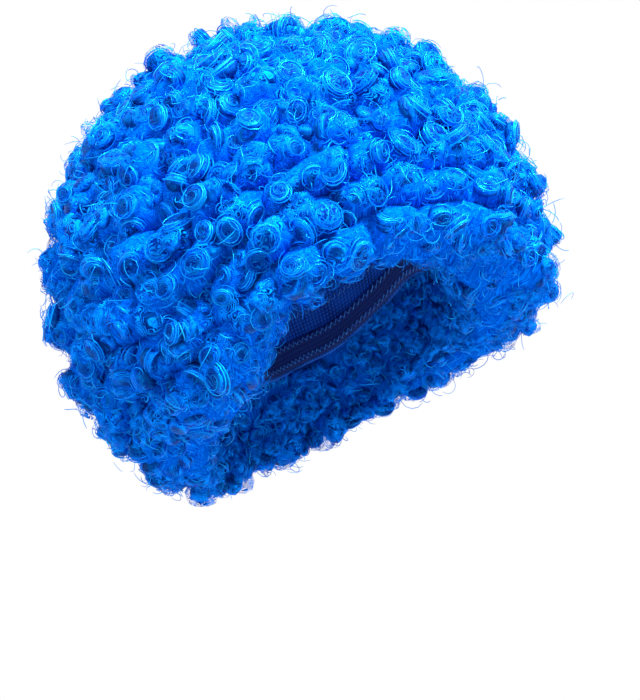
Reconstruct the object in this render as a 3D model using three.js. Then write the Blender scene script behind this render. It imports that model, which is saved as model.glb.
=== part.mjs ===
// Curly clown wig, in millimetres, +Z up. The face looks along -Y, and +X is the wearer's left.
// The origin is the top of the hollow, where the crown of the head touches the cap.
//
// A knitted cap fits the head, and an elastic band is sewn inside its rim. Rings of curled
// fibre, called wefts, are sewn round the cap one below the other, from the crown to the rim.
// Each weft is a strip with its locks fused to it, and together they form a round mop of hair.
import * as THREE from "three";

// The head that the cap fits.
const headBreadth = 156;
const headLength = 196;
const crownHeight = 88; // from the widest level of the head up to its crown

// Cap and band.
const capWall = 2;
const bandWidth = 16;
const bandThickness = 1.6;
const seamGap = 0.3; // between the cap and what is sewn to it

// How far the hair stands off the head.
const hairTop = 61;
const hairSide = 67;
const hairFront = 54;
const hairBack = 47;
const hairLift = 8; // the ball of hair is centred this much above the widest level of the head
const hairSag = 10; // how much deeper the ball is below its widest level than a round one
const hairHang = 75; // the longest drop of the lowest locks below the cap's rim

// Wefts and locks.
const weftCount = 9; // rings below the crown tuft
const crownTuftShare = 0.8; // height of the crown tuft, in weft heights
const lockPitch = 29; // width of a lock at its outer end
const fewestLocks = 6; // in the tuft on the crown
const lockRelief = 9; // how deep the valleys between locks are
const lockWander = 3; // how much one lock is longer or shorter than the next
const weftGap = 1.4; // between the roots of two wefts
const tipGap = 3; // between the tips of two wefts
const hemClearance = 4; // from the skin below the rim to the hanging locks

// Facets of the cap and the band round the head, and of the cap's inside from the crown to the band.
const capSectors = 40;
const capRings = 8;

// The lower edge of the wig, from the middle of the forehead (turn 0) round both sides to the nape
// (turn 180). The cap's rim is alike on both sides; the hair hangs lower on the wearer's right.
// rim, right and left are how far the cap and the ball of hair come down, in degrees from the
// crown. The drops are how far the lowest locks hang below the rim, as shares of hairHang.
const edge = [
  { turn: 0, rim: 72, right: 85, left: 85, rightDrop: 0.13, leftDrop: 0.13 },
  { turn: 18, rim: 73, right: 87, left: 90, rightDrop: 0.13, leftDrop: 0.23 },
  { turn: 32, rim: 77, right: 91, left: 97, rightDrop: 0.15, leftDrop: 0.32 },
  { turn: 40, rim: 84, right: 97, left: 103, rightDrop: 0.21, leftDrop: 0.37 },
  { turn: 47, rim: 89, right: 105, left: 108, rightDrop: 0.35, leftDrop: 0.41 },
  { turn: 58, rim: 97, right: 111, left: 114, rightDrop: 0.39, leftDrop: 0.42 },
  { turn: 78, rim: 100, right: 118, left: 122, rightDrop: 0.54, leftDrop: 0.58 },
  { turn: 88, rim: 101, right: 127, left: 126, rightDrop: 0.76, leftDrop: 0.66 },
  { turn: 97, rim: 102, right: 133, left: 129, rightDrop: 0.99, leftDrop: 0.71 },
  { turn: 112, rim: 112, right: 137, left: 133, rightDrop: 0.91, leftDrop: 0.65 },
  { turn: 140, rim: 127, right: 141, left: 139, rightDrop: 0.72, leftDrop: 0.62 },
  { turn: 180, rim: 133, right: 141, left: 141, rightDrop: 0.65, leftDrop: 0.65 },
];

// Outer end of a lock seen along the weft: shares of the weft's height and of the valleys' depth.
const lockProfile = [
  { height: 1, sink: 0.9 },
  { height: 0.72, sink: 0 },
  { height: 0.28, sink: 0 },
  { height: 0, sink: 0.9 },
];
// The same lock seen from above: shares of its width and of the valleys' depth.
const lockOutline = [
  { width: 0, sink: 1 },
  { width: 0.3, sink: 0 },
  { width: 0.7, sink: 0 },
];

const hairBlue = 0x0878e0;
const capBlue = 0x0c4fae;
const bandBlue = 0x0a3f90;

const radians = THREE.MathUtils.degToRad;
const goldenAngle = Math.PI * (3 - Math.sqrt(5)); // steps of it never line up

// The edge table at a turn round the head, read between its rows.
function edgeAt(turn) {
  const around = THREE.MathUtils.euclideanModulo(turn + Math.PI, 2 * Math.PI) - Math.PI;
  const degrees = THREE.MathUtils.radToDeg(Math.abs(around));
  const [reach, drop] = around < 0 ? ["right", "rightDrop"] : ["left", "leftDrop"];
  const next = Math.max(1, edge.findIndex((row) => row.turn >= degrees - 1e-9));
  const [a, b] = [edge[next - 1], edge[next]];
  const between = (key) => THREE.MathUtils.mapLinear(degrees, a.turn, b.turn, a[key], b[key]);
  return {
    rim: radians(between("rim")),
    hair: radians(between(reach)),
    hang: hairHang * between(drop),
  };
}

// A point on an ellipsoid, at a turn from the face towards +X and an angle down from the crown.
function onEllipsoid(centre, radii, turn, down) {
  return new THREE.Vector3(
    centre.x + radii.x * Math.sin(down) * Math.sin(turn),
    centre.y - radii.y * Math.sin(down) * Math.cos(turn),
    centre.z + radii.z * Math.cos(down),
  );
}

const headCentre = new THREE.Vector3(0, 0, -crownHeight);

// The head's surface, moved outwards by offset.
function onHead(turn, down, offset) {
  const radii = new THREE.Vector3(headBreadth / 2, headLength / 2, crownHeight).addScalar(offset);
  return onEllipsoid(headCentre, radii, turn, down);
}

const hairCentre = new THREE.Vector3(0, (hairBack - hairFront) / 2, hairLift - crownHeight);
const hairRadii = new THREE.Vector3(
  headBreadth / 2 + hairSide,
  (headLength + hairFront + hairBack) / 2,
  crownHeight - hairLift + hairTop,
);

// The round outside of the hair, sunk inwards by depth. It sags below its widest level.
function onHair(turn, down, depth) {
  const radii = hairRadii.clone().addScalar(-depth);
  if (down > Math.PI / 2) radii.z += hairSag;
  return onEllipsoid(hairCentre, radii, turn, down);
}

// Joins closed sections round the head into a ring-shaped solid. Each runs up its inner side and
// down its outer side, and the last section meets the first.
function ringSolid(sections) {
  const rows = sections.length;
  const size = sections[0].length;
  const index = [];
  for (let i = 0; i < rows; i++) {
    for (let j = 0; j < size; j++) {
      const a = i * size + j;
      const b = i * size + ((j + 1) % size);
      const c = ((i + 1) % rows) * size + j;
      const d = ((i + 1) % rows) * size + ((j + 1) % size);
      index.push(a, b, c, b, d, c);
    }
  }
  return indexed(sections.flat(), index);
}

// Joins rings of points that start and end at a single point, the first and last of the list.
function shellSolid(start, rings, end) {
  const size = rings[0].length;
  const points = [start, ...rings.flat(), end];
  const last = points.length - 1;
  const index = [];
  for (let j = 0; j < size; j++) {
    const k = (j + 1) % size;
    index.push(0, 1 + j, 1 + k);
    index.push(last, last - size + k, last - size + j);
    for (let i = 0; i + 1 < rings.length; i++) {
      const a = 1 + i * size;
      const b = a + size;
      index.push(a + j, b + j, b + k, a + j, b + k, a + k);
    }
  }
  return indexed(points, index);
}

function indexed(points, index) {
  const geometry = new THREE.BufferGeometry().setFromPoints(points);
  geometry.setIndex(index);
  geometry.computeVertexNormals();
  return geometry;
}

// Turns round the head, equally spaced.
function turns(count) {
  return Array.from({ length: count }, (_, i) => (i * 2 * Math.PI) / count);
}

// How far down from the crown the top of the band lies.
function bandTop(turn) {
  return edgeAt(turn).rim - bandWidth / crownHeight;
}

// The knitted cap: a thin wall on the head, open below. Its outside is flat under each weft, and
// its inside is flat behind the band.
function wigCap() {
  const ring = (offset, down) => turns(capSectors).map((turn) => onHead(turn, down(turn), offset));
  const outside = Array.from({ length: weftCount + 1 }, (_, weft) =>
    ring(capWall, (turn) => weftEnd(weft) * edgeAt(turn).rim),
  );
  const inside = Array.from({ length: capRings }, (_, i) =>
    ring(0, (turn) => (1 - i / capRings) * bandTop(turn)),
  );
  const mouth = ring(0, (turn) => edgeAt(turn).rim);
  return shellSolid(onHead(0, 0, capWall), [...outside, mouth, ...inside], onHead(0, 0, 0));
}

// The elastic band, sewn inside the cap along its rim.
function rimBand() {
  const outer = -seamGap;
  const inner = outer - bandThickness;
  return ringSolid(
    turns(capSectors).map((turn) => {
      const low = edgeAt(turn).rim;
      const high = bandTop(turn);
      return [
        onHead(turn, low, inner),
        onHead(turn, high, inner),
        onHead(turn, high, outer),
        onHead(turn, low, outer),
      ];
    }),
  );
}

// How much a lock is longer or shorter than its neighbours, from -1 to 1.
function wander(weft, lock) {
  return Math.sin(goldenAngle * (lock + weft * weft));
}

// The lines across a weft: three for each lock, with the sink of the valleys and the lock's number.
function lockLines(weft, locks) {
  const stagger = weft % 2 ? 0.5 : 0; // each weft's locks lie over the last one's valleys
  const lines = [];
  for (let lock = 0; lock < locks; lock++) {
    for (const { width, sink } of lockOutline) {
      const turn = ((lock + width + stagger) * 2 * Math.PI) / locks;
      lines.push({ turn, sink, lock });
    }
  }
  return lines;
}

// How far down the wefts end, from 0 at the crown to 1 at the edge of the wig. Weft 0 is the tuft.
function weftEnd(weft) {
  return (weft + crownTuftShare) / (weftCount + crownTuftShare);
}

// How many locks fit round a weft at their outer ends.
function lockCount(weft) {
  const middle = (weftEnd(weft) + (weft ? weftEnd(weft - 1) : 0)) / 2;
  const around = turns(capSectors).map((turn) => onHair(turn, middle * edgeAt(turn).hair, 0));
  const length = around.reduce((sum, p, i) => sum + p.distanceTo(around.at(i - 1)), 0);
  return Math.max(fewestLocks, Math.round(length / lockPitch));
}

// The outer end of a weft's locks on one line, from its top to its foot.
function lockTips(weft, line, top, foot) {
  const reach = edgeAt(line.turn).hair;
  const margin = tipGap / 2 / hairRadii.z;
  const high = top * reach + (top ? margin : 0);
  const low = foot * reach - margin;
  return lockProfile.map(({ height, sink }) => {
    const depth = lockRelief * Math.max(sink, line.sink) - lockWander * wander(weft, line.lock);
    return onHair(line.turn, THREE.MathUtils.lerp(low, high, height), depth);
  });
}

// A weft: a strip sewn to the cap from one end of its share to the other, with its locks fused on.
function weftRing(weft) {
  const top = weftEnd(weft - 1);
  const foot = weftEnd(weft);
  const root = capWall + seamGap;
  const margin = weftGap / 2 / crownHeight;
  return ringSolid(
    lockLines(weft, lockCount(weft)).map((line) => {
      const { rim } = edgeAt(line.turn);
      const rootLow = onHead(line.turn, foot * rim - margin, root);
      const rootHigh = onHead(line.turn, top * rim + margin, root);
      const tips = lockTips(weft, line, top, foot);
      const under = weft < weftCount ? [] : hangingFoot(line, tips.at(-1));
      return [...under, rootLow, rootHigh, ...tips];
    }),
  );
}

// The round underside of the lowest locks, from their outer end to where they hang off the skin.
function hangingFoot(line, tip) {
  const { rim, hang } = edgeAt(line.turn);
  const outwards = new THREE.Vector3(Math.sin(line.turn), -Math.cos(line.turn), 0);
  const skin = onHead(line.turn, rim, capWall + seamGap);
  const inner = skin.clone().addScaledVector(outwards, hemClearance).setZ(skin.z - hang);
  const belly = inner.clone().lerp(tip, 0.5);
  belly.z -= lockRelief * (1 - line.sink);
  return [belly, inner];
}

// The tuft on the crown: a round patch of locks that closes the first weft.
function crownTuft() {
  const foot = weftEnd(0);
  const root = capWall + seamGap;
  const margin = weftGap / 2 / crownHeight;
  const lines = lockLines(0, lockCount(0));
  const rootRing = lines.map((line) => onHead(line.turn, foot * edgeAt(line.turn).rim - margin, root));
  const tips = lines.map((line) => lockTips(0, line, 0, foot));
  const tipRings = [1, 2, 3].map((i) => tips.map((tip) => tip[i]));
  return shellSolid(onHair(0, 0, 0), [...tipRings, rootRing], onHead(0, 0, root));
}

function mesh(name, geometry, color, roughness) {
  const material = new THREE.MeshStandardMaterial({ color, roughness, metalness: 0 });
  const made = new THREE.Mesh(geometry, material);
  made.name = name;
  return made;
}

const wig = new THREE.Group();
wig.name = "clown_wig";
wig.add(mesh("cap", wigCap(), capBlue, 0.9));
wig.add(mesh("rim_band", rimBand(), bandBlue, 0.8));
wig.add(mesh("crown_tuft", crownTuft(), hairBlue, 0.45));
for (let weft = 1; weft <= weftCount; weft++) {
  wig.add(mesh(`weft_${weft}`, weftRing(weft), hairBlue, 0.45));
}

export default wig;
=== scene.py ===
import math

import bpy
import numpy as np
from mathutils import Matrix, Vector
from mathutils.bvhtree import BVHTree
from mathutils.kdtree import KDTree


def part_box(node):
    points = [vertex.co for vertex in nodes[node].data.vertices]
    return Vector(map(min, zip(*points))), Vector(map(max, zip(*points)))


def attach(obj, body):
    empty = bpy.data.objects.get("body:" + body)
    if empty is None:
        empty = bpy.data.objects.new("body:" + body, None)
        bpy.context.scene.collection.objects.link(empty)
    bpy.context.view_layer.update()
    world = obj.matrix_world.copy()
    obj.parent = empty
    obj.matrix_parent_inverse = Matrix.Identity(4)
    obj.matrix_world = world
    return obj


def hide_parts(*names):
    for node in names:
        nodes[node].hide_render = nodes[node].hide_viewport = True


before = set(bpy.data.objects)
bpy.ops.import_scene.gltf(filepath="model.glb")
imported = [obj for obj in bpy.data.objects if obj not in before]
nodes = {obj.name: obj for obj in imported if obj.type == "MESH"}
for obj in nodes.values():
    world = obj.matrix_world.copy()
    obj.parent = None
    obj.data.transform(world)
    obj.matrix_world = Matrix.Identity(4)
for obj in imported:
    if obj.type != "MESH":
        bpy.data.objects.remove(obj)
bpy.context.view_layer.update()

mm = 0.001
hairNodes = sorted(name for name in nodes if name == "crown_tuft" or name.startswith("weft_"))


# Small tools

def linear(hexColour):
    # sRGB hex to linear: c/12.92 in the dark, ((c + 0.055) / 1.055) ** 2.4 above
    srgb = np.array([int(hexColour[i:i + 2], 16) / 255 for i in (1, 3, 5)])
    low = srgb / 12.92
    high = ((srgb + 0.055) / 1.055) ** 2.4
    return (*np.where(srgb <= 0.04045, low, high).tolist(), 1.0)


def wire(tree, node, values, links):
    # values are the sockets' own numbers, and links their sources: a node stands for its first output
    for key, value in (values or {}).items():
        node.inputs[key].default_value = value
    for key, source in (links or {}).items():
        output = source.outputs[0] if isinstance(source, bpy.types.Node) else source
        tree.links.new(output, node.inputs[key])


def addNode(tree, kind, settings=None, values=None, links=None, stops=None):
    # kind is the shader node's name, settings its own properties, and stops a colour ramp's places
    # and colours
    node = tree.nodes.new("ShaderNode" + kind)
    for key, value in (settings or {}).items():
        setattr(node, key, value)
    wire(tree, node, values, links)
    if stops:
        elements = node.color_ramp.elements
        while len(elements) < len(stops):
            elements.new(0.5)
        for element, (place, colour) in zip(elements, stops):
            element.position = place
            element.color = linear(colour)
    return node


def addObject(name, data):
    thing = bpy.data.objects.new(name, data)
    bpy.context.scene.collection.objects.link(thing)
    return thing


def newMaterial(name):
    material = bpy.data.materials.new(name)
    material.use_nodes = True
    tree = material.node_tree
    shader = tree.nodes["Principled BSDF"]
    return material, tree, shader


def nodeTriangles(name):
    # every triangle of a CAD node, as an array of corners (count, 3, 3)
    mesh = nodes[name].data
    mesh.calc_loop_triangles()
    points = np.empty(len(mesh.vertices) * 3)
    mesh.vertices.foreach_get("co", points)
    corners = np.empty(len(mesh.loop_triangles) * 3, np.int32)
    mesh.loop_triangles.foreach_get("vertices", corners)
    return points.reshape(-1, 3)[corners].reshape(-1, 3, 3)


def unit(vectors):
    return vectors / np.maximum(np.linalg.norm(vectors, axis=-1, keepdims=True), 1e-12)


def smoothStep(x):
    x = np.clip(x, 0, 1)
    return x * x * (3 - 2 * x)


def makeMesh(name, points, faces, uvs, slots, materials):
    # faces is a list of arrays (count, 3 or 4); uvs and slots go with them, face by face
    mesh = bpy.data.meshes.new(name)
    corners = np.concatenate([f.ravel() for f in faces]).astype(np.int32)
    sizes = np.concatenate([np.full(len(f), f.shape[1]) for f in faces])
    starts = np.concatenate([[0], np.cumsum(sizes)[:-1]]).astype(np.int32)
    mesh.vertices.add(len(points))
    mesh.vertices.foreach_set("co", np.ascontiguousarray(points, np.float32).ravel())
    mesh.loops.add(len(corners))
    mesh.loops.foreach_set("vertex_index", corners)
    mesh.polygons.add(len(sizes))
    mesh.polygons.foreach_set("loop_start", starts)
    mesh.update(calc_edges=True)
    mesh.polygons.foreach_set("use_smooth", np.ones(len(sizes), bool))
    mesh.polygons.foreach_set("material_index", np.concatenate(slots).astype(np.int32))
    flat = np.concatenate([u.reshape(-1, 2) for u in uvs]).astype(np.float32)
    for mapName in ("strand", "OFBake"):
        layer = mesh.uv_layers.new(name=mapName)
        layer.uv.foreach_set("vector", flat.ravel())
    mesh.validate()
    for material in materials:
        mesh.materials.append(material)
    return addObject(name, mesh)


def triangleCount(faces):
    return sum(len(f) * (f.shape[1] - 2) for f in faces)


def ringCells(rows, sides):
    # the row and the place in it of each corner of the four-cornered faces between rings
    j, k = np.repeat(np.arange(rows - 1), sides), np.tile(np.arange(sides), rows - 1)
    return np.stack([j, j, j + 1, j + 1], -1), np.stack([k, k + 1, k + 1, k], -1)


def pointTree(points):
    tree = KDTree(len(points))
    for i, point in enumerate(points):
        tree.insert(point, i)
    tree.balance()
    return tree


def keep(piece, slot, *replaced):
    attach(piece, "root")
    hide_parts(*replaced)


# The form of the hair, read from the frame

hairTriangles = {name: nodeTriangles(name) for name in hairNodes}
hairCorners = np.concatenate([t.reshape(-1, 3) for t in hairTriangles.values()])
hairLow, hairHigh = hairCorners.min(0), hairCorners.max(0)
ballRadii = (hairHigh - hairLow) / 2
ballRadii[2] = ballRadii[:2].mean()
ballCentre = (hairHigh + hairLow) / 2
ballCentre[2] = hairHigh[2] - ballRadii[2]


def outwardCorners(name, centre):
    # the corners of a CAD node's triangles that face away from a point
    triangles = nodeTriangles(name)
    normals = np.cross(triangles[:, 1] - triangles[:, 0], triangles[:, 2] - triangles[:, 0])
    away = (normals * (triangles.mean(1) - centre)).sum(1) > 0
    return np.unique(np.round(triangles[away].reshape(-1, 3), 7), axis=0)


# The hollow is an ellipsoid whose top is the origin. Its half breadth and half length come from
# the cap's box, and its height from the outer wall above the widest level:
# (z + height) / (height + wall) = q = sqrt(1 - (x / a) ** 2 - (y / b) ** 2), solved for height.
seam = 0.3 * mm  # between the cap and its band
capHigh = np.array(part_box("cap")[1])
capWall = capHigh[2]
outerRadii = np.array([capHigh[0], capHigh[1]])
x, y, z = outwardCorners("cap", ballCentre).T
q = np.sqrt(np.clip(1 - (x / outerRadii[0]) ** 2 - (y / outerRadii[1]) ** 2, 0, 1))
upper = (z > -0.05) & (q < 0.98)
hollowHeight = float(np.median((capWall * q[upper] - z[upper]) / (1 - q[upper])))
hollowRadii = np.array([*(outerRadii - capWall), hollowHeight])
hollowCentre = np.array([0, 0, -hollowHeight])


def onHollow(turn, down, offset):
    # the hollow's surface moved outwards, at a turn from the face and an angle down from the crown
    radii = hollowRadii + np.asarray(offset)[..., None]
    across = np.sin(down)
    shape = np.stack([across * np.sin(turn), -across * np.cos(turn), np.cos(down)], -1)
    return hollowCentre + radii * shape


# The rim and the top of the band, as angles down from the crown, at each of the band's turns
bandShape = (outwardCorners("rim_band", ballCentre) - hollowCentre) / (hollowRadii - seam)
bandTurns = np.round(np.degrees(np.arctan2(bandShape[:, 0], -bandShape[:, 1])))
bandDowns = np.arccos(np.clip(bandShape[:, 2], -1, 1))
knownTurns = np.unique(bandTurns)
knownRim = np.array([bandDowns[bandTurns == turn].max() for turn in knownTurns])
knownTop = np.array([bandDowns[bandTurns == turn].min() for turn in knownTurns])


def rounded(known):
    # a closed curve of the known angles, one to each degree of turn, its corners smoothed
    degrees = np.arange(360)
    curve = np.interp(degrees, knownTurns, known, period=360)
    near = np.exp(-(np.arange(-12, 13) / 5.0) ** 2)
    return sum(w * np.roll(curve, s) for s, w in zip(range(-12, 13), near / near.sum()))


rimCurve, topCurve = rounded(knownRim), rounded(knownTop)


def curveAt(curve, turn):
    return np.interp(np.degrees(turn), np.arange(360), curve, period=360)


print("frame read:", len(hairNodes), "hair nodes, ball mm", np.round(ballRadii / mm, 1))
print("hollow mm", np.round(hollowRadii / mm, 2), "rim", np.round(np.degrees(rimCurve[::20]), 0))

# Places for the curls: random points on the faces of the hair that nothing covers

curlPlaces = {
    "seed": 20,
    "spacing": 13.0 * mm,      # between the feet of two ringlets
    "wallSpacing": 7 * mm,     # on the hanging locks' inner side, where the curls are small
    "gap": 8 * mm,             # from a ringlet to a deeper one in a gap
    "gapSpacing": 12 * mm,
    "tries": 14,               # random points for each ringlet that finds a place
    "cover": 5 * mm,           # a face with something this near in front of it is inside the hair
    "wallFacing": -0.25,       # a face that looks outwards less than this is on the inner side
    "tightShare": (0.3, 0.4),  # of the ringlets everywhere, and more at the combed front
}
rng = np.random.default_rng(curlPlaces["seed"])


def spread(low, high, count):
    return rng.uniform(low, high, count)


def facePoints(triangles, perArea):
    # points on triangles, as many as their area asks for: a + s * (b - a) + t * (c - a), s + t < 1
    cross = np.cross(triangles[:, 1] - triangles[:, 0], triangles[:, 2] - triangles[:, 0])
    area = np.linalg.norm(cross, axis=1) / 2
    count = int(area.sum() * perArea)
    pick = rng.choice(len(triangles), count, p=area / area.sum())
    s, t = rng.random((2, count, 1))
    s, t = np.where(s + t > 1, 1 - s, s), np.where(s + t > 1, 1 - t, t)
    a, b, c = triangles[pick].transpose(1, 0, 2)
    return a + s * (b - a) + t * (c - a), unit(cross[pick])


def thinned(points, spacing):
    # keeps each point in turn, unless a kept one is nearer than the spacing
    tree = pointTree(points)
    kept = np.zeros(len(points), bool)
    for i, point in enumerate(points):
        kept[i] = not any(kept[j] for _, j, _ in tree.find_range(point, spacing))
    return kept


everything = np.concatenate([*hairTriangles.values(), nodeTriangles("cap"), nodeTriangles("rim_band")])
solidTree = BVHTree.FromPolygons(everything.reshape(-1, 3).tolist(),
                                 np.arange(len(everything) * 3).reshape(-1, 3).tolist())


def uncovered(points, normals):
    # whether a short look outwards from each point meets nothing
    starts = points + normals * 0.1 * mm
    return np.array([solidTree.ray_cast(Vector(p), Vector(n), curlPlaces["cover"])[0] is None
                     for p, n in zip(starts, normals)])


def ballDirection(points):
    return unit((points - ballCentre) / ballRadii ** 2)


combedFront = unit(np.array([-0.35, -0.9, 0.35]))


def combed(points):
    # 1 at the combed front, where the rings show best, and 0 over the sides and back
    return smoothStep(ballDirection(points) @ combedFront * 1.6 - 0.3)


def hollowShare(points):
    # 1 on the skin of the head, more outside it
    return np.linalg.norm((points - hollowCentre) / hollowRadii, axis=-1)


places, facing, placeNode = [], [], []
for number, name in enumerate(hairNodes):
    found, normals = facePoints(hairTriangles[name], curlPlaces["tries"] / curlPlaces["spacing"] ** 2)
    clear = uncovered(found, normals)
    places.append(found[clear])
    facing.append(normals[clear])
    placeNode.append(np.full(clear.sum(), number))
places, facing, placeNode = (np.concatenate(part) for part in (places, facing, placeNode))
order = rng.permutation(len(places))
places, facing, placeNode = places[order], facing[order], placeNode[order]
outwardShare = (facing * ballDirection(places)).sum(1)
# the inner side of the hanging locks, and the hem over the brow
atWall = outwardShare < curlPlaces["wallFacing"]
outer = np.flatnonzero(~atWall)[thinned(places[~atWall], curlPlaces["spacing"])]
wall = np.flatnonzero(atWall)[thinned(places[atWall], curlPlaces["wallSpacing"])]

# deeper ringlets fill the gaps between the first ones
candidates = np.flatnonzero(~atWall)
firstTree = pointTree(places[outer])
free = np.array([firstTree.find(point)[2] > curlPlaces["gap"] for point in places[candidates]])
between = candidates[free][thinned(places[candidates][free], curlPlaces["gapSpacing"])]
least, more = curlPlaces["tightShare"]
tight = rng.random(len(places)) < least + more * combed(places)
print("curl places:", len(outer), "outside,", len(wall), "on the inner side,", len(between), "in the gaps")


# Fibres: many thin strands made at once. Their map holds the depth across and the tone upwards,
# and keeps one stretch for strands and one for each kind of form under them or round them.

fibreMap = {"strand": (0.01, 0.26), "bunch": (0.30, 0.50), "frizz": (0.54, 0.74), "under": (0.78, 0.98)}
variants = 4  # different patterns side by side in the stretches of the turned forms
mapEdge = 0.01  # left empty at both ends of a pattern
mapWidth = 1 - 2 * mapEdge


def fibreMesh(lines, across, widths, tones, depths):
    # lines (count, steps, 3) are the fibres' middles, across points along the flat of each, and
    # widths (count, steps, 2) are half its width and half its thickness: closed tubes
    count, steps = lines.shape[:2]
    corners = 3
    wide, thick = (way(2 * np.pi * np.arange(corners) / corners) for way in (np.cos, np.sin))
    along = unit(np.gradient(lines, axis=1))
    flat = unit(across - along * (across * along).sum(-1, keepdims=True))
    through = np.cross(along, flat)
    ring = (lines[:, :, None] + flat[:, :, None] * widths[..., 0, None, None] * wide[:, None]
            + through[:, :, None] * widths[..., 1, None, None] * thick[:, None])
    first = (np.arange(count)[:, None, None] * steps + np.arange(steps - 1)[:, None]) * corners
    k = np.arange(corners)
    k1 = (k + 1) % corners
    sides = np.stack([first + k, first + k1, first + corners + k1, first + corners + k], -1).reshape(-1, 4)
    start = np.arange(count)[:, None] * steps * corners
    ends = np.concatenate([start + k[::-1], start + (steps - 1) * corners + k])
    u = np.broadcast_to(depths[..., None], (count, steps, corners))
    v = tones[:, None, None] + 0.004 * k + np.zeros((count, steps, 1))
    spots = np.stack([u, v], -1).reshape(-1, 2)
    endNudge = np.where(k == 1, 0.004, 0)[:, None] * [1, 0]
    return ring.reshape(-1, 3), [sides, ends], [spots[sides], spots[ends] + endNudge]


def perpendiculars(axes):
    # two directions across each axis, so that side x other = axis
    helper = np.where(np.abs(axes[:, 2:]) < 0.8, [[0, 0, 1.0]], [[1.0, 0, 0]])
    side = unit(np.cross(axes, helper))
    return side, np.cross(axes, side)


def turnedForms(form, heights, wide, rise, footRise, tipRise, sides, stretch):
    # closed forms turned about their axes: rings wide (count, rows) at rise (count, rows) along
    # the axis, from a pole at footRise to a pole at tipRise. The map holds the rows' heights,
    # as angles from foot to tip, across and the turn upwards.
    centres, axes, side, other = (form[key] for key in ("centres", "axes", "side", "other"))
    count, rows = wide.shape
    angle = spread(0, 2 * np.pi, count)[:, None] + 2 * np.pi * np.arange(sides) / sides
    around = side[:, None] * np.cos(angle)[..., None] + other[:, None] * np.sin(angle)[..., None]
    rings = (centres[:, None, None] + axes[:, None, None] * rise[:, :, None, None]
             + around[:, None] * wide[:, :, None, None])
    poles = centres[:, None] + axes[:, None] * np.stack([footRise, tipRise], -1)[..., None]
    points = np.concatenate([rings.reshape(count, rows * sides, 3), poles], 1)
    base = np.arange(count)[:, None] * points.shape[1]
    row, place = ringCells(rows, sides)
    k = np.arange(sides)
    foot = np.stack([0 * k + rows * sides, (k + 1) % sides, k], -1)
    last = (rows - 1) * sides
    tip = np.stack([0 * k + rows * sides + 1, last + k, last + (k + 1) % sides], -1)
    rowDepth = mapEdge + mapWidth * (np.array([-90, *heights, 90]) + 90) / 180
    variant = rng.integers(0, variants, count)[:, None, None]
    low, high = fibreMap[stretch]

    def mapped(rowNumber, place):
        turned = (variant + mapEdge + mapWidth * place / sides) / variants
        spot = np.stack([rowDepth[rowNumber] + 0 * turned, low + (high - low) * turned], -1)
        return spot.reshape(count * len(place), *spot.shape[2:])

    faces = [(base[..., None] + f).reshape(-1, f.shape[1]) for f in (row * sides + place % sides, foot, tip)]
    maps = [mapped(row + 1, place),
            mapped(np.array([0, 1, 1]) + 0 * foot, np.stack([k + 0.5, k + 1, k], -1)),
            mapped(np.array([rows + 1, rows, rows]) + 0 * foot, np.stack([k + 0.5, k, k + 1], -1))]
    return points.reshape(-1, 3), faces, maps


def joined(parts):
    # several (points, faces, maps) made one
    points, faces, maps, start = [], [], [], 0
    for partPoints, partFaces, partMaps in parts:
        points.append(partPoints)
        faces += [f + start for f in partFaces]
        maps += partMaps
        start += len(partPoints)
    return np.concatenate(points), faces, maps


def offSkin(points):
    # hair lies on the head and on the cap, and never goes through them
    share = hollowShare(points)[..., None]
    least = np.where(points[..., 2:] > hollowCentre[2], 1.045, 1.0)
    moved = hollowCentre + (points - hollowCentre) * least / np.maximum(share, 0.2)
    return np.where(share < least, moved, points)


# Ringlets. Each winds on a form between a drum and a ball: at the angle psi from its belly to its
# tip it is radius * cos(psi) ** roundness wide and halfLength * sin(psi) along its axis.

ringletStyle = {
    "steps": 13,               # points along one strand
    "radius": (6.2, 8.8),      # mm
    "halfLength": (3.4, 5.8),  # mm
    "turns": (0.85, 1.3),      # of one strand
    "sink": 4.7,               # mm from the hair's surface down to the middle of a ringlet
    "tilt": 0.6,               # how far the axes wander from straight out
    "squash": 0.10,            # how oval they are
    "half": (0.35, 0.24),      # mm, half a strand's width and thickness as drawn
    "bunch": (0.87, 0.93),     # how wide and long the finer fibres' form is, against the strands
    "deepSink": 7.0,           # mm, the sink of the ringlets in the gaps
    "smallSink": 1.8,          # mm, and of the small ones on the inner side
    "small": 0.62,             # the size of the small ones
}
# psi of the middle of each strand round a ringlet, and how far it strays, in degrees. On a tight
# one three lie close together round its shoulder and one strays round the belly. On a brushed one
# they stray all over it.
ringHeights = ((50, 3), (42, 3), (33, 5), (5, 12))
brushedHeights = ((62, 10), (42, 14), (20, 16), (-5, 16))


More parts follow.
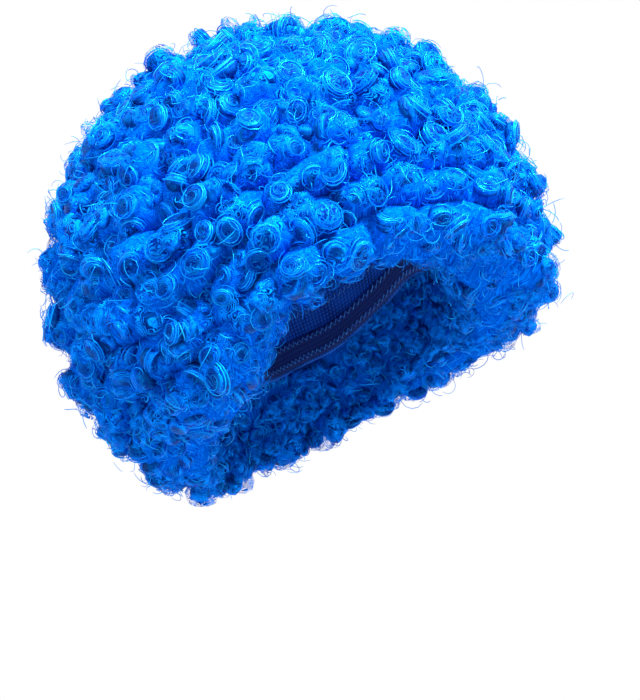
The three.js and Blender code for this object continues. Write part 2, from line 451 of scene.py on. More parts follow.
def woundStrands(form, heights):
    # strands that each run once round a ringlet at their own height: theta turns while psi climbs
    centres, axes, side, other = (form[key][:, None, None] for key in ("centres", "axes", "side", "other"))
    radius, halfLength, roundness, looseness, tone = (
        form[key][:, None, None] for key in ("radius", "halfLength", "roundness", "looseness", "tone"))
    style, count, fibres = ringletStyle, len(centres), len(heights)
    t = np.linspace(0, 1, style["steps"])
    middle, wander = (np.array(way)[:, None] for way in zip(*heights))
    stray = rng.normal(0, 1, (8, count, fibres, 1)) * (0.5 + looseness)
    climb = 2 * wander * (t - 0.5) * rng.choice([-1, 1], (count, fibres, 1))
    psi = np.radians(np.clip(middle + wander * stray[0] + climb, -70, 84))
    turns = spread(*style["turns"], (count, fibres, 1)) * (1 - 0.5 * looseness)
    theta = spread(0, 2 * np.pi, (count, fibres, 1)) + 2 * np.pi * turns * t
    wide = radius * np.cos(psi) ** roundness * (1.02 + 0.05 * stray[1] + 0.10 * stray[2] * (t - 0.5))
    rise = halfLength * np.sin(psi) + wide * 0.10 * stray[3] * np.cos(theta - 3 * stray[4])
    lean = 0.35 * mm * stray[5:7]
    lines = (centres + axes * rise[..., None] + side * (wide * np.cos(theta) + lean[0])[..., None]
             + other * (wide * np.sin(theta) + lean[1])[..., None])
    flat = np.broadcast_to(axes, lines.shape)
    # painted shade: the depth across the map makes strands nearer the foot darker than those nearer the tip
    return finished(lines, flat, tone, 0.62 + 0.36 * np.sin(psi))


def innerStrands(form):
    # one strand that winds inwards over the tip
    centres, axes, side, other = (form[key][:, None, None] for key in ("centres", "axes", "side", "other"))
    radius, halfLength, dish, tone = (
        form[key][:, None, None] for key in ("radius", "halfLength", "dish", "tone"))
    style, count = ringletStyle, len(centres)
    t = np.linspace(0, 1, style["steps"])
    theta = spread(0, 2 * np.pi, (count, 1, 1)) + 2 * np.pi * spread(0.7, 1.2, (count, 1, 1)) * t
    wide = radius * (0.72 - 0.40 * t) * spread(0.8, 1.1, (count, 1, 1))
    rise = halfLength * (1.0 - 0.5 * dish * t) + 0.12 * wide * np.cos(theta)
    drift = 0.12 * radius * rng.normal(0, 1, (count, 1, 1))
    lines = (centres + axes * rise[..., None] + side * (wide * np.cos(theta) + drift)[..., None]
             + other * (wide * np.sin(theta))[..., None])
    # painted shade: this strand is duller than the ringlet's others and darkens as it winds into the dish
    return finished(lines, np.broadcast_to(axes, lines.shape), tone - 0.25, 0.8 - 0.25 * t + 0 * wide)


def finished(lines, flat, tone, depths):
    # each strand thinner at both ends, and its own tone
    style = ringletStyle
    count, fibres, steps = lines.shape[:3]
    t = np.linspace(0, 1, steps)
    thin = spread(0.6, 1.25, (count * fibres, 1)) * mm * np.interp(t, [0, 0.15, 0.85, 1], [0.3, 1, 1, 0.3])
    widths = np.stack([half * thin for half in style["half"]], -1)
    low, high = fibreMap["strand"]
    tones = low + (high - low) * np.clip(tone[..., 0] + rng.normal(0, 0.2, (count, fibres)), 0, 1)
    return fibreMesh(offSkin(lines.reshape(-1, steps, 3)), flat.reshape(-1, steps, 3), widths,
                     tones.ravel(), np.broadcast_to(depths, lines.shape[:3]).reshape(-1, steps))


def bunches(form, sides, heights):
    # the finer fibres of each ringlet, as one form with a shallow dish at its tip
    roundness, radius, halfLength = (form[key][:, None] for key in ("roundness", "radius", "halfLength"))
    psi = np.radians(heights)
    wideShare, longShare = ringletStyle["bunch"]
    wide = wideShare * radius * np.cos(psi) ** roundness
    rise = longShare * halfLength * np.sin(psi)
    tip = rise[:, -1] + (0.12 - 0.5 * form["dish"]) * form["halfLength"]
    points, faces, maps = turnedForms(form, heights, wide, rise, -form["halfLength"], tip, sides, "bunch")
    return offSkin(points), faces, maps


def frizzBalls(form, grow, chance):
    # sparse fibres that stray round a ringlet, as flattened balls that are open between them.
    # The combed front has fewest.
    share = chance[0] + (chance[1] - chance[0]) * combed(form["centres"])
    chosen = rng.random(len(form["centres"])) < share
    form = {key: value[chosen] for key, value in form.items()}
    count = len(form["centres"])
    radius = form["radius"] * spread(*grow, count)
    axes = unit(form["axes"] + rng.normal(0, 0.8, (count, 3)))
    side, other = perpendiculars(axes)
    centres = (form["centres"] - 2 * mm * ballDirection(form["centres"])
               + rng.normal(0, 2 * mm, (count, 3)))
    ball = {"centres": centres, "axes": axes, "side": side, "other": other}
    heights = (-55, -18, 18, 55)
    psi = np.radians(heights)
    thick = radius * spread(0.35, 0.9, count)
    wide, rise = radius[:, None] * np.cos(psi), thick[:, None] * np.sin(psi)
    points, faces, maps = turnedForms(ball, heights, wide, rise, -thick, thick, 10, "frizz")
    return offSkin(points), faces, maps


def ringletForms(points, normals, small=1.0, sink=ringletStyle["sink"]):
    # ringlets at points on the hair: tight and round above, looser near the lower edge
    style, count = ringletStyle, len(points)
    height = (points[:, 2] - hairLow[2]) / (hairHigh[2] - hairLow[2])
    loose = np.clip(0.55 - height, 0, 0.5) * 1.4 + 0.4 * (rng.random(count) < 0.25)
    out = unit(normals + 0.9 * ballDirection(points) * (small == 1.0))
    axes = unit(out + style["tilt"] * rng.normal(0, 0.6, (count, 3)) * (1 + loose[:, None]) + [0, 0, -0.12])
    roundness = np.where(rng.random(count) < 0.5, spread(0.25, 0.45, count), spread(0.5, 0.9, count))
    helper, _ = perpendiculars(axes)
    turned = spread(0, np.pi, count)[:, None]
    side = helper * np.cos(turned) + np.cross(axes, helper) * np.sin(turned)
    oval = rng.normal(0, style["squash"], count)[:, None]
    return {
        "centres": points - out * (sink + rng.normal(0, 1.1, count) * small)[:, None] * mm,
        "axes": axes, "side": side * (1 + oval), "other": np.cross(axes, side) * (1 - oval),
        "radius": spread(*style["radius"], count) * mm * small,
        "halfLength": spread(*style["halfLength"], count) * mm * small,
        "roundness": roundness, "looseness": loose,
        "dish": spread(0.0, 0.8, count),
        # tone: random, plus painted light that makes ringlets higher up brighter and those lower down duller
        "tone": np.clip(0.5 + rng.normal(0, 0.2, count) + 0.3 * (height - 0.5), 0, 1),
    }


def tightRinglets(pick):
    form = ringletForms(places[pick], facing[pick])
    return joined([bunches(form, 12, (-55, -15, 20, 45, 66)), woundStrands(form, ringHeights),
                   innerStrands(form), frizzBalls(form, (1.1, 1.4), (0.6, 0.1))])


def brushedRinglets(pick):
    # ringlets that have come apart: their strands stray all over them
    form = ringletForms(places[pick], facing[pick])
    form["radius"] = form["radius"] * 0.92
    form["looseness"] = form["looseness"] + 0.5
    return joined([bunches(form, 12, (-50, 0, 35, 62)), woundStrands(form, brushedHeights),
                   frizzBalls(form, (1.15, 1.5), (1.0, 0.9))])


def deepRinglets(pick):
    form = ringletForms(places[pick], facing[pick], sink=ringletStyle["deepSink"])
    return joined([bunches(form, 10, (-50, 0, 35, 62)), frizzBalls(form, (1.0, 1.4), (0.8, 0.8))])


def smallRinglets(pick):
    style = ringletStyle
    form = ringletForms(places[pick], facing[pick], style["small"], style["smallSink"])
    return joined([bunches(form, 10, (-50, 0, 35, 62)), woundStrands(form, ringHeights[1:2]),
                   frizzBalls(form, (1.1, 1.5), (0.5, 0.5))])


# Loose hairs: single arcs that lie between the ringlets or stand off them

looseHairs = {
    "perRinglet": 3.7,
    "steps": 7,
    "radius": (2.6, 6.6),   # mm
    "turns": (0.25, 0.6),
    "stand": (-5.5, -0.2),  # mm from the hair's surface to the middle of the arc
    "half": 0.21,           # mm, half a hair's width as drawn
}


def looseArcs(pick):
    # a helix of a large pitch: radius * (cos, sin) across and pitch * t along a random direction
    style = looseHairs
    count, steps = len(pick), style["steps"]
    out = ballDirection(places[pick])
    axes = unit(out + rng.normal(0, 0.9, (count, 3)))
    side, other = perpendiculars(axes)
    t = np.linspace(0, 1, steps)
    theta = spread(0, 2 * np.pi, (count, 1)) + rng.choice([-1.0, 1.0], (count, 1)) * 2 * np.pi * (
        spread(*style["turns"], (count, 1)) * t)
    radius = spread(*style["radius"], (count, 1)) * mm * (1 + rng.normal(0, 0.25, (count, 1)) * t)
    rise = rng.normal(0, 5, (count, 1)) * mm * (t - 0.5)
    centres = (places[pick] + out * spread(*style["stand"], (count, 1)) * mm
               + rng.normal(0, 3 * mm, (count, 3)))
    lines = (centres[:, None] + axes[:, None] * rise[..., None]
             + side[:, None] * (radius * np.cos(theta))[..., None]
             + other[:, None] * (radius * np.sin(theta))[..., None])
    taper = np.interp(t, [0, 0.15, 0.8, 1], [0.5, 1, 1, 0.4])
    half = style["half"] * mm * spread(0.7, 1.3, (count, 1)) * taper
    low, high = fibreMap["strand"]
    tones = low + (high - low) * np.clip(0.5 + rng.normal(0, 0.25, count), 0, 1)
    # painted shade: each arc darker towards its ends than in its middle
    depths = 0.7 + 0.25 * np.sin(np.pi * t) + spread(-0.1, 0.0, (count, 1))
    return fibreMesh(offSkin(lines), np.broadcast_to(axes[:, None], lines.shape),
                     np.stack([half, half], -1), tones, depths)


# The hair below the ringlets: each node's own solid, drawn in, its edges smoothed away

underHair = {
    "sink": 7.0,    # mm that the outside is drawn in
    "reach": 45.0,  # mm of hair depth over which the sinking fades towards the cap
    "relief": 1.6,  # mm, the waves of the fibre
    "lift": 4.5,    # mm that the inner side is drawn out, for its small ringlets
    "hem": 4.0,     # mm that the lower hem is drawn in
    "swell": 2.2,   # mm, so that the masses of neighbouring wefts meet
    "cell": 0.01,   # mm, corners nearer than this are one
    "wave": 7.0,    # mm, the length that sets the waves' spacing
}


def foldedMap(value):
    # back and forth between 0 and 1, so that a pattern goes on without a jump
    return np.abs(value - 2 * np.round(value / 2))


def cornerNormals(points, faces):
    # at each point the sum of its triangles' normals, longer for larger ones
    a, b, c = points[faces].transpose(1, 0, 2)
    normals = np.zeros_like(points)
    for corner in faces.T:
        np.add.at(normals, corner, np.cross(b - a, c - a))
    return unit(normals)


def underMesh(name):
    # each triangle divided in four, each point drawn in towards the hollow's surface, apart from
    # the inner side below the cap, which is drawn outwards
    a, b, c = hairTriangles[name].transpose(1, 0, 2)
    ab, bc, ca = (a + b) / 2, (b + c) / 2, (c + a) / 2
    quarters = ((a, ab, ca), (ab, b, bc), (ca, bc, c), (ab, bc, ca))
    triangles = np.concatenate([np.stack(quarter, 1) for quarter in quarters])
    keys = np.round(triangles.reshape(-1, 3) / (underHair["cell"] * mm)).astype(np.int64)
    keys, index = np.unique(keys, axis=0, return_inverse=True)
    points = keys * underHair["cell"] * mm
    faces = index.reshape(-1, 3)
    share = hollowShare(points)
    skin = hollowCentre + (points - hollowCentre) / share[:, None]
    depth = np.linalg.norm(points - skin, axis=1)
    normals = cornerNormals(points, faces)
    inward = (smoothStep((-(normals * ballDirection(points)).sum(1) - 0.1) / 0.3)
              * smoothStep((hollowCentre[2] - points[:, 2]) / (10 * mm)))
    sunk = underHair["sink"] * mm * smoothStep(depth / (underHair["reach"] * mm))
    x, y, z = (points / (underHair["wave"] * mm)).T
    waves = np.sin(x + 1.7 * np.sin(y)) + np.sin(y + 1.3 * np.sin(z)) + np.sin(z + 1.9 * np.sin(x))
    sunk = sunk + underHair["relief"] * mm * waves / 2 * smoothStep(depth / (20 * mm))
    sunk = np.minimum(sunk, 0.6 * depth) * (1 - inward)
    points = (points - unit(points - skin + 1e-9) * sunk[:, None]
              - normals * (underHair["lift"] * mm * inward)[:, None])
    normals = cornerNormals(points, faces)
    hem = (smoothStep((-normals[:, 2] - 0.2) / 0.4)
           * smoothStep((hairLow[2] + 35 * mm - points[:, 2]) / (15 * mm)))
    swell = underHair["swell"] * mm * smoothStep(depth / (12 * mm)) * (1 - hem) * (1 - inward)
    swell = swell - underHair["hem"] * mm * hem * (1 - inward)
    points = points + normals * swell[:, None]
    across = np.degrees(np.arctan2(points[:, 0], -points[:, 1])) / 24
    down = (np.hypot(points[:, 0], points[:, 1]) - points[:, 2]) / (60 * mm)
    low, high = fibreMap["under"]
    spot = np.stack([0.02 + 0.96 * foldedMap(across), low + (high - low) * foldedMap(down)], -1)
    return points, [faces], [spot[faces]]


# Curled modacrylic fibre: drawn, dyed in the mass and heat-set on rods. It is smooth, so each
# strand has a bright azure glint, and light that goes from strand to strand turns deep blue.
# Its colour goes from dark at the root to bright at the tip across the map, which is painted shade for depth
# in the hair, and from dull to bright strands up it.

curledFibre, tree, shader = newMaterial("curledModacrylicFibre")
uv = addNode(tree, "UVMap", {"uv_map": "strand"})
spot = addNode(tree, "SeparateXYZ", links={0: uv})
across, up = spot.outputs[:2]
tone = addNode(tree, "MapRange", values=dict(zip((1, 2), fibreMap["strand"])), links={0: up})
# both ramps are darker at low depth across the map: painted shade
dull = addNode(tree, "ValToRGB", links={0: across},
               stops=((0.0, "#0030A0"), (0.45, "#0054D0"), (0.8, "#0070EC"), (1.0, "#0080F8")))
bright = addNode(tree, "ValToRGB", links={0: across},
                 stops=((0.0, "#004CB8"), (0.45, "#0088FA"), (0.8, "#08A4FF"), (1.0, "#20B8FF")))
strandColour = addNode(tree, "Mix", {"data_type": "RGBA"},
                       links={0: tone, 6: dull, 7: bright})

# A form's fibres are drawn as the contour lines of a noise, read on a ball from the turn and the
# height in the map. Round a bunch they mostly follow its turns, a millimetre or so apart, and the
# dark blue between them is painted shade. In a frizz ball they loop about, with nothing between them.
fibreLines = {}
psi = addNode(tree, "MapRange", {"clamp": False},
              {1: mapEdge, 2: 1 - mapEdge, 3: -math.pi / 2, 4: math.pi / 2}, {0: across})
level, climb = (addNode(tree, "Math", {"operation": way}, links={0: psi})
                for way in ("COSINE", "SINE"))
for stretch, fineness, loops, rounds in (("bunch", 1.5, 12.0, 6.4), ("frizz", 1.0, 20.0, 0.0)):
    low, high = fibreMap[stretch]
    turns = addNode(tree, "MapRange", {"clamp": False},
                    {1: low, 2: high, 3: 0.0, 4: float(variants)}, {0: up})
    variant, part = (addNode(tree, "Math", {"operation": way}, links={0: turns})
                     for way in ("FLOOR", "FRACT"))
    turn = addNode(tree, "MapRange", {"clamp": False},
                   {1: mapEdge, 2: 1 - mapEdge, 3: 0.0, 4: 2 * math.pi}, {0: part})
    ring = [addNode(tree, "Math", {"operation": way}, links={0: turn})
            for way in ("COSINE", "SINE")]
    ring = [addNode(tree, "Math", {"operation": "MULTIPLY"}, links={0: way, 1: level})
            for way in ring]
    lift = addNode(tree, "Math", {"operation": "MULTIPLY_ADD"}, {1: 5.0}, {0: variant, 2: climb})
    ball = addNode(tree, "CombineXYZ", links={0: ring[0], 1: ring[1], 2: lift})
    noise = addNode(tree, "TexNoise", values={"Scale": fineness, "Detail": 0.6},
                    links={"Vector": ball})
    value = addNode(tree, "Math", {"operation": "MULTIPLY"}, {1: loops}, {0: noise})
    value = addNode(tree, "Math", {"operation": "MULTIPLY_ADD"}, {1: rounds}, {0: psi, 2: value})
    line = addNode(tree, "Math", {"operation": "PINGPONG"}, {1: 0.5}, {0: value})
    patch = addNode(tree, "TexNoise", values={"Scale": 1.9, "Detail": 0.0}, links={"Vector": ball})
    patch = addNode(tree, "Math", {"operation": "MULTIPLY_ADD"}, {1: 0.7, 2: -0.35}, {0: patch})
    drawn = addNode(tree, "Math", {"operation": "ADD"}, links={0: line, 1: patch})
    fibreLines[stretch] = drawn

# the bunch's fibre lines, with painted shade as dark blue in the gaps between them
bunchColour = addNode(tree, "ValToRGB", links={0: fibreLines["bunch"]},
                      stops=((0.05, "#0030A0"), (0.22, "#0056D0"), (0.42, "#008CFC")))
# painted shade and painted highlight: darker at a form's foot and a little at its tip, white round its
# shoulder where the rings catch the light
paintedDepthShadeAndShoulderHighlight = addNode(tree, "ValToRGB", links={0: across},
                     stops=((0.0, "#808080"), (0.5, "#C0C0C0"), (0.64, "#FFFFFF"), (0.79, "#FFFFFF"),
                            (0.87, "#C0C0C0"), (1.0, "#A8A8A8")))
bunchColour = addNode(tree, "Mix", {"data_type": "RGBA", "blend_type": "MULTIPLY"}, {0: 1.0},
                      {6: bunchColour, 7: paintedDepthShadeAndShoulderHighlight})
frizzColour = addNode(tree, "ValToRGB", links={0: fibreLines["frizz"]},
                      stops=((0.25, "#0058D8"), (0.50, "#0088F4")))
inBunch, inFrizz = (
    addNode(tree, "Math", {"operation": "GREATER_THAN"}, {1: fibreMap[stretch][0] - 0.015}, {0: up})
    for stretch in ("bunch", "frizz"))
colour = addNode(tree, "Mix", {"data_type": "RGBA"},
                 links={0: inBunch, 6: strandColour.outputs[2], 7: bunchColour.outputs[2]})
colour = addNode(tree, "Mix", {"data_type": "RGBA"},
                 links={0: inFrizz, 6: colour.outputs[2], 7: frizzColour})
frizzThere = addNode(tree, "MapRange", values={1: 0.31, 2: 0.35}, links={0: fibreLines["frizz"]})
there = addNode(tree, "Mix", {"data_type": "FLOAT"}, {2: 1.0},
                {0: inFrizz, 3: frizzThere})
relief = addNode(tree, "Math", {"operation": "MULTIPLY"}, links={0: fibreLines["bunch"], 1: inBunch})
bump = addNode(tree, "Bump", values={"Strength": 0.5, "Distance": 0.7 * mm}, links={"Height": relief})
# roughness: 0.23 on a strand, 0.45 on a bunch and 0.73 on frizz
gloss = addNode(tree, "Math", {"operation": "MULTIPLY_ADD"}, {1: 0.22, 2: 0.23}, {0: inBunch})
gloss = addNode(tree, "Math", {"operation": "MULTIPLY_ADD"}, {1: 0.28}, {0: inFrizz, 2: gloss})
wire(tree, shader,
     {"Metallic": 0.24, "Specular IOR Level": 0.06, "Specular Tint": linear("#60C8FF"), "IOR": 1.5},
     {"Base Color": colour.outputs[2], "Alpha": there, "Normal": bump, "Roughness": gloss})

# The same fibre deep in the mop, where it is only seen between ringlets: coloured darker as painted shade
# for its depth, in fine lines with painted shade between them.

underFibrePaintedShade, tree, shader = newMaterial("modacrylicFibreBelowPaintedShade")
spot = addNode(tree, "UVMap", {"uv_map": "strand"})
cells = addNode(tree, "Mapping", values={"Scale": (9, 50, 1)}, links={0: spot})
noise = addNode(tree, "TexNoise", values={"Scale": 1.0, "Detail": 1.5, "Roughness": 0.45},
                links={"Vector": cells})
patch = addNode(tree, "TexNoise", values={"Scale": 2.3, "Detail": 1.0}, links={"Vector": cells})
value = addNode(tree, "Math", {"operation": "MULTIPLY"}, {1: 15.0}, {0: noise})
line = addNode(tree, "Math", {"operation": "PINGPONG"}, {1: 0.5}, {0: value})
height = addNode(tree, "Math", {"operation": "MULTIPLY"}, links={0: line, 1: patch})
colour = addNode(tree, "ValToRGB", links={0: height},
                 stops=((0.02, "#003CA8"), (0.13, "#0054CC"), (0.26, "#0074EC")))
bump = addNode(tree, "Bump", values={"Strength": 0.7, "Distance": 1.0 * mm}, links={"Height": height})
wire(tree, shader, {"Roughness": 0.6, "Specular IOR Level": 0.0}, {"Base Color": colour, "Normal": bump})


hairTotal = 0
for number, name in enumerate(hairNodes):
    mine, inside, gaps = (pick[placeNode[pick] == number] for pick in (outer, wall, between))
    both = np.concatenate([mine, gaps])
    parts = [tightRinglets(mine[tight[mine]]), brushedRinglets(mine[~tight[mine]]), deepRinglets(gaps),
             looseArcs(rng.choice(both, int(len(both) * looseHairs["perRinglet"])))]
    inner = [smallRinglets(inside), looseArcs(rng.choice(inside, 2 * len(inside)))] if len(inside) else []
    bodies = {"curls_" + name: (parts, [underMesh(name)])}
    if len(inside) > 50:  # enough for a piece of its own
        bodies["curls_inside_" + name] = (inner, [])
    else:
        parts += inner
    for title, (curls, under) in bodies.items():
        curls = joined(curls)
        points, faces, maps = joined([curls, *under])
        curlFaces = len(curls[1])
        slots = [np.full(len(f), int(i >= curlFaces)) for i, f in enumerate(faces)]
        keep(makeMesh(title, points, faces, maps, slots, [curledFibre, underFibrePaintedShade]), "curled_fibre", name)
        triangles = triangleCount(faces)
        hairTotal += triangles
        print(title, triangles, "triangles")
print("hair:", hairTotal, "triangles")


# Cap: a knitted wall with the rim turned over, and a zigzag of thread under each weft

capStyle = {
    "turns": 160, "downs": 40, "edgeSteps": 5,
    "wales": 220, "courses": 96,  # columns round the cap and rows down it, as coarse as they show
    "stitch": 4.0,                # mm, the length of a zigzag's stitch
    "stitchHalf": 1.6,            # mm, half its swing
    "threadHalf": 0.32,           # mm, half the thread's width as drawn
}


def closedLoops(rings, low, high):
    # a surface through rings (rows, sides, 3) that each run once round. The map holds the turn
    # across and the row upwards, between low and high.
    rows, sides = rings.shape[:2]
    row, place = ringCells(rows, sides)
    spot = np.stack([place / sides, low + (high - low) * row / (rows - 1)], -1)
    return rings.reshape(-1, 3), [row * sides + place % sides], [spot]


def capMesh():
    # the hollow's surface outside and inside, from the crown to the rim, joined by a half round edge
    style = capStyle
    turn = 2 * np.pi * np.arange(style["turns"]) / style["turns"]
    rim = curveAt(rimCurve, turn)
    share = np.linspace(0.0, 1, style["downs"] + 1)[1:, None]
    edge = np.pi * (np.arange(1, style["edgeSteps"] + 1) / (style["edgeSteps"] + 1))[:, None]
    half = capWall / 2
    down = np.concatenate([rim * share, rim + half * np.sin(edge) / hollowRadii[1], rim * share[::-1]])
    offset = np.concatenate([0 * rim + capWall + 0 * share, half + half * np.cos(edge) + 0 * rim,
                             0 * rim + 0 * share])
    rings = onHollow(turn + 0 * down, down, offset)
    points, faces, maps = closedLoops(rings, mapEdge, 1 - mapEdge)
    poles = np.array([[0, 0, capWall], [0, 0, 0.0]])
    sides, k = style["turns"], np.arange(style["turns"])
    last = (len(rings) - 1) * sides
    top = np.stack([0 * k + len(points), k, (k + 1) % sides], -1)
    low = np.stack([0 * k + len(points) + 1, last + (k + 1) % sides, last + k], -1)
    topMap = np.stack([np.stack([k + 0.5, k, k + 1], -1) / sides,
                       mapEdge * np.array([0, 1, 1]) + 0.0 * top], -1)
    lowMap = np.stack([np.stack([k + 0.5, k + 1, k], -1) / sides,
                       1 - mapEdge + mapEdge * np.array([1, 0, 0]) + 0.0 * low], -1)
    return np.concatenate([points, poles]), [faces[0][:, ::-1], top, low], [maps[0][:, ::-1], topMap, lowMap]


def threadLoop(turn, down, offset, half, tone):
    # a closed thread along a path round the head, three-sided
    line = onHollow(turn, down, offset)
    along = unit(np.roll(line, -1, 0) - np.roll(line, 1, 0))
    out = unit((line - hollowCentre) / hollowRadii ** 2)
    flat = unit(np.cross(along, out))
    corner = 2 * np.pi * np.arange(3) / 3
    ring = line[:, None] + half * (flat[:, None] * np.cos(corner)[:, None]
                                   + np.cross(along, flat)[:, None] * np.sin(corner)[:, None])
    steps = len(line)
    row, place = ringCells(steps + 1, 3)
    faces = (row % steps) * 3 + place % 3
    spot = np.stack([row / steps, tone + 0.01 * place / 3], -1)
    return ring.reshape(-1, 3), [faces], [spot]


def zigzag(curve, share, offset, tone):
    # a sewn zigzag along a share of the way from the crown to the curve
    style = capStyle
    middle = np.median(curve) * share
    girth = 2 * np.pi * math.sin(min(middle, math.pi / 2)) * hollowRadii[:2].mean()
    stitches = max(12, int(girth / (style["stitch"] * mm)))
    step = np.arange(4 * stitches)
    turn = 2 * np.pi * step / len(step)
    swing = np.array([0, 1, 0, -1])[step % 4] * style["stitchHalf"] * mm / hollowRadii[2]
    dip = np.array([0.1, -0.15, 0.1, -0.15])[step % 4] * mm
    down = curveAt(curve, turn) * share + swing
    return threadLoop(turn, down, offset + dip, style["threadHalf"] * mm, tone)


# Weft lines: the middle of each weft's root, as a share of the way down to the rim

def rootShare(name):
    corners = hairTriangles[name].reshape(-1, 3)
    corners = corners[corners[:, 2] > -hollowHeight - 0.06]
    rooted = corners[hollowShare(corners) < hollowShare(corners).min() + 0.02]
    shape = (rooted - hollowCentre) / hollowRadii
    down = np.arccos(np.clip(shape[:, 2] / np.linalg.norm(shape, axis=1), -1, 1))
    share = down / curveAt(rimCurve, np.arctan2(shape[:, 0], -shape[:, 1]))
    share = share[share < 1.002]
    return (share.min() + share.max()) / 2


weftLines = sorted(rootShare(name) for name in hairNodes if name != "crown_tuft")
print("weft lines at", np.round(weftLines, 3))

# Knitted polyester: fine rows of V-shaped stitches, matt, with the pits between the wales painted dark as
# shade.

capKnit, tree, shader = newMaterial("knittedPolyesterNet")
spot = addNode(tree, "UVMap", {"uv_map": "strand"})
across, up = addNode(tree, "SeparateXYZ", links={0: spot}).outputs[:2]
wale = addNode(tree, "Math", {"operation": "MULTIPLY"}, {1: float(capStyle["wales"])}, {0: across})
side = addNode(tree, "Math", {"operation": "PINGPONG"}, {1: 0.5}, {0: wale})
course = addNode(tree, "Math", {"operation": "MULTIPLY_ADD"}, {1: 2.0 * capStyle["courses"]},
                 {0: up, 2: side})
loop = addNode(tree, "Math", {"operation": "PINGPONG"}, {1: 0.5}, {0: course})
height = addNode(tree, "Math", {"operation": "MULTIPLY"}, links={0: loop, 1: side})
mottle = addNode(tree, "TexNoise", values={"Scale": 60.0, "Detail": 3.0},
                 links={"Vector": addNode(tree, "TexCoord").outputs["Object"]})
knit = addNode(tree, "Math", {"operation": "MULTIPLY_ADD"}, {1: 5.0}, {0: height, 2: mottle})
colour = addNode(tree, "ValToRGB", links={0: knit},
                 stops=((0.35, "#001A52"), (0.75, "#0446A6"), (1.0, "#1060CC")))
bump = addNode(tree, "Bump", values={"Strength": 0.9, "Distance": 0.6 * mm}, links={"Height": height})
wire(tree, shader, {"Roughness": 0.85, "Specular IOR Level": 0.25}, {"Base Color": colour, "Normal": bump})

# Spun polyester sewing thread: two plies, a slight sheen, a shade lighter than the cap.

thread, tree, shader = newMaterial("spunPolyesterThread")
spot = addNode(tree, "TexNoise", values={"Scale": 900.0, "Detail": 2.0},
               links={"Vector": addNode(tree, "TexCoord").outputs["Object"]})
colour = addNode(tree, "ValToRGB", links={0: spot},
                 stops=((0.35, "#0A4CB0"), (0.65, "#3D8FE6")))
wire(tree, shader, {"Roughness": 0.55}, {"Base Color": colour})

capPoints, capFaces, capMaps = capMesh()
sewing = joined([zigzag(rimCurve, share, -0.1 * mm, 0.2) for share in weftLines])
points, faces, maps = joined([(capPoints, capFaces, capMaps), sewing])
slots = [np.zeros(len(f), int) for f in capFaces] + [np.ones(len(f), int) for f in sewing[1]]
keep(makeMesh("knitted_cap", points, faces, maps, slots, [capKnit, thread]), "cap_knit", "cap")
print("cap:", triangleCount(faces), "triangles")


# Band: elastic webbing inside the rim, ribbed along its length

bandStyle = {
    "turns": 180, "across": 26,
    "ribs": 6, "rib": 0.28,    # ribs along the band, and their depth in mm
    "threads": 420.0,          # weft threads round the band, as coarse as they show
    "seams": (1.015, 0.985),   # places of its two zigzags, as shares of the top's and rim's angles
}


bandCorners = nodeTriangles("rim_band").reshape(-1, 3)
bandInner = hollowShare(bandCorners).min() * hollowRadii[0]  # the half breadth inside the band


def bandMesh():
    # a flat oval section carried round the rim, its inner face waved by the ribs
    style = bandStyle
    thickness = (hollowRadii[0] - seam) - bandInner
    turn = 2 * np.pi * np.arange(style["turns"]) / style["turns"]
    top, rim = curveAt(topCurve, turn), curveAt(rimCurve, turn)
    way = np.linspace(0.0, 1.0, style["across"])
    bulge = 1 - np.abs(2 * way - 1) ** 8
    ribs = style["rib"] * mm * np.abs(np.sin(np.pi * style["ribs"] * way)) * bulge
    inner = -seam - thickness / 2 - bulge * thickness / 2 + style["rib"] * mm - ribs
    outer = -seam - thickness / 2 + bulge * thickness / 2
    share = np.concatenate([way, way[::-1]])
    offset = np.concatenate([inner, outer[::-1]])
    down = top + (rim - top) * share[:, None]
    rings = onHollow(turn + 0 * down, down, offset[:, None] + 0 * down)
    return np.concatenate([rings, rings[:1]])


rings = bandMesh()
points, faces, maps = closedLoops(rings, mapEdge, 1 - mapEdge)
lastRow = len(rings) - 1
merged = faces[0] % (lastRow * bandStyle["turns"])
points = points[:lastRow * bandStyle["turns"]]

# Woven elastic: covered rubber with ribs along it and fine weft threads across, dull and dark.

elastic, tree, shader = newMaterial("wovenElasticWebbing")
spot = addNode(tree, "UVMap", {"uv_map": "strand"})
across, up = addNode(tree, "SeparateXYZ", links={0: spot}).outputs[:2]
weft = addNode(tree, "Math", {"operation": "MULTIPLY"}, {1: bandStyle["threads"]}, {0: across})
weft = addNode(tree, "Math", {"operation": "PINGPONG"}, {1: 0.5}, {0: weft})
# painted shade: near black in the grooves between the weft threads, lighter on their crowns
colour = addNode(tree, "ValToRGB", links={0: weft},
                 stops=((0.05, "#001040"), (0.5, "#0A3C94")))
bump = addNode(tree, "Bump", values={"Strength": 0.6, "Distance": 0.3 * mm}, links={"Height": weft})
wire(tree, shader, {"Roughness": 0.75}, {"Base Color": colour, "Normal": bump})

seamOffset = bandInner - hollowRadii[0] - 0.05 * mm
bandThread = joined([zigzag(topCurve, bandStyle["seams"][0], seamOffset, 0.2),
                     zigzag(rimCurve, bandStyle["seams"][1], seamOffset, 0.4)])
allPoints, allFaces, allMaps = joined([(points, [merged], maps), bandThread])
slots = [np.zeros(len(merged), int)] + [np.ones(len(f), int) for f in bandThread[1]]
bandPiece = makeMesh("elastic_band", allPoints, allFaces, allMaps, slots, [elastic, thread])
keep(bandPiece, "band_elastic", "rim_band")
print("band:", triangleCount(allFaces), "triangles")


# Floor, light and camera

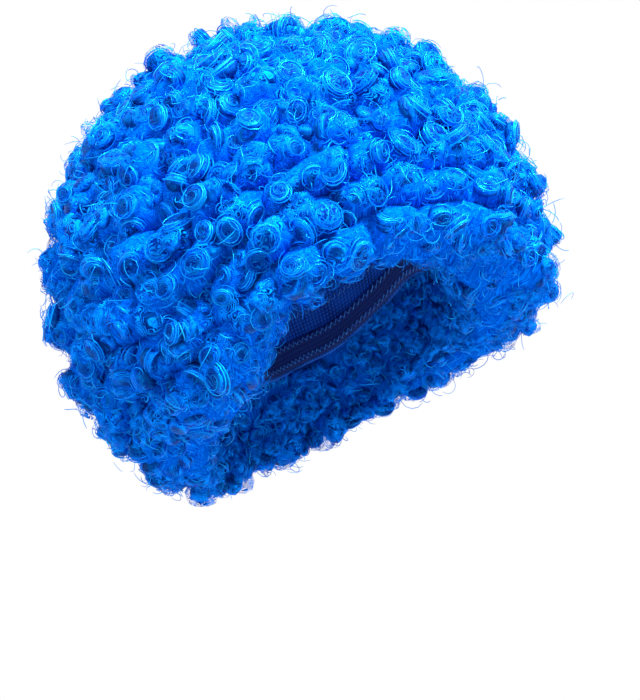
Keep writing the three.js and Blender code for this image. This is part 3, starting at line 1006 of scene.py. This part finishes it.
stage = {"floorDrop": 1.3, "floorRadius": 2.4, "floorSides": 64}  # metres below the origin and across
angle = 2 * np.pi * np.arange(stage["floorSides"]) / stage["floorSides"]
disc = np.stack([stage["floorRadius"] * np.cos(angle), stage["floorRadius"] * np.sin(angle),
                 0 * angle - stage["floorDrop"]], -1)
floorMesh = bpy.data.meshes.new("floor")
floorMesh.from_pydata(disc.tolist(), [], [list(range(len(disc)))])
floor = addObject("floor", floorMesh)
paint, tree, shader = newMaterial("mattWhitePaint")  # rolled studio paint, with no gloss
grain = addNode(tree, "TexNoise", values={"Scale": 40.0, "Detail": 2.0},
                links={"Vector": addNode(tree, "TexCoord").outputs["Object"]})
shade = addNode(tree, "ValToRGB", links={0: grain},
                stops=((0.3, "#CED0D2"), (0.7, "#D6D8DA")))
wire(tree, shader, {"Roughness": 0.9}, {"Base Color": shade})
floorMesh.materials.append(paint)

view = {"azimuth": -24.26, "elevation": 8.04, "roll": -16.25, "distance": 1.2537,
        "aim": (-0.0026, -0.0087, -0.1279), "focal": 113.14, "sensor": 36.0}
a, e, roll = (math.radians(view[key]) for key in ("azimuth", "elevation", "roll"))
back = Vector((math.sin(a) * math.cos(e), -math.cos(a) * math.cos(e), math.sin(e)))
level = Vector((0, 0, 1)).cross(back).normalized()
right = level * math.cos(roll) + back.cross(level) * math.sin(roll)
upward = back.cross(right)
camera = bpy.data.cameras.new("camera")
camera.sensor_fit, camera.sensor_height, camera.lens = "VERTICAL", view["sensor"], view["focal"]
cameraObject = addObject("camera", camera)
cameraObject.matrix_world = (Matrix.Translation(Vector(view["aim"]) + back * view["distance"])
                             @ Matrix((right, upward, back)).transposed().to_4x4())
bpy.context.scene.camera = cameraObject


def addLight(name, direction, distance, size, power):
    # a soft square light, that faces the middle of the wig
    light = bpy.data.lights.new(name, "AREA")
    light.size, light.energy = size, power
    lamp = addObject(name, light)
    where = Vector(view["aim"]) + direction.normalized() * distance
    turned = direction.to_track_quat("Z", "Y").to_matrix().to_4x4()
    lamp.matrix_world = Matrix.Translation(where) @ turned


addLight("key", back * 0.55 + right * 0.3 + upward * 1.1, distance=1.8, size=0.28, power=90)
addLight("fill", back * 0.8 - right * 0.7 + upward * 0.7, distance=2.2, size=1.6, power=12)

world = bpy.data.worlds.new("studio")
world.use_nodes = True
tree = world.node_tree
way = addNode(tree, "SeparateXYZ",
              links={0: addNode(tree, "TexCoord").outputs["Generated"]})
power = addNode(tree, "MapRange", values={1: 0.0, 2: 1.0, 3: 1.0, 4: 1.6}, links={0: way.outputs[2]})
# brighter overhead, as a lit ceiling is
wire(tree, tree.nodes["Background"], {"Color": (1, 1, 1, 1)}, {"Strength": power})
bpy.context.scene.world = world
bpy.context.scene.view_settings.view_transform = "Standard"
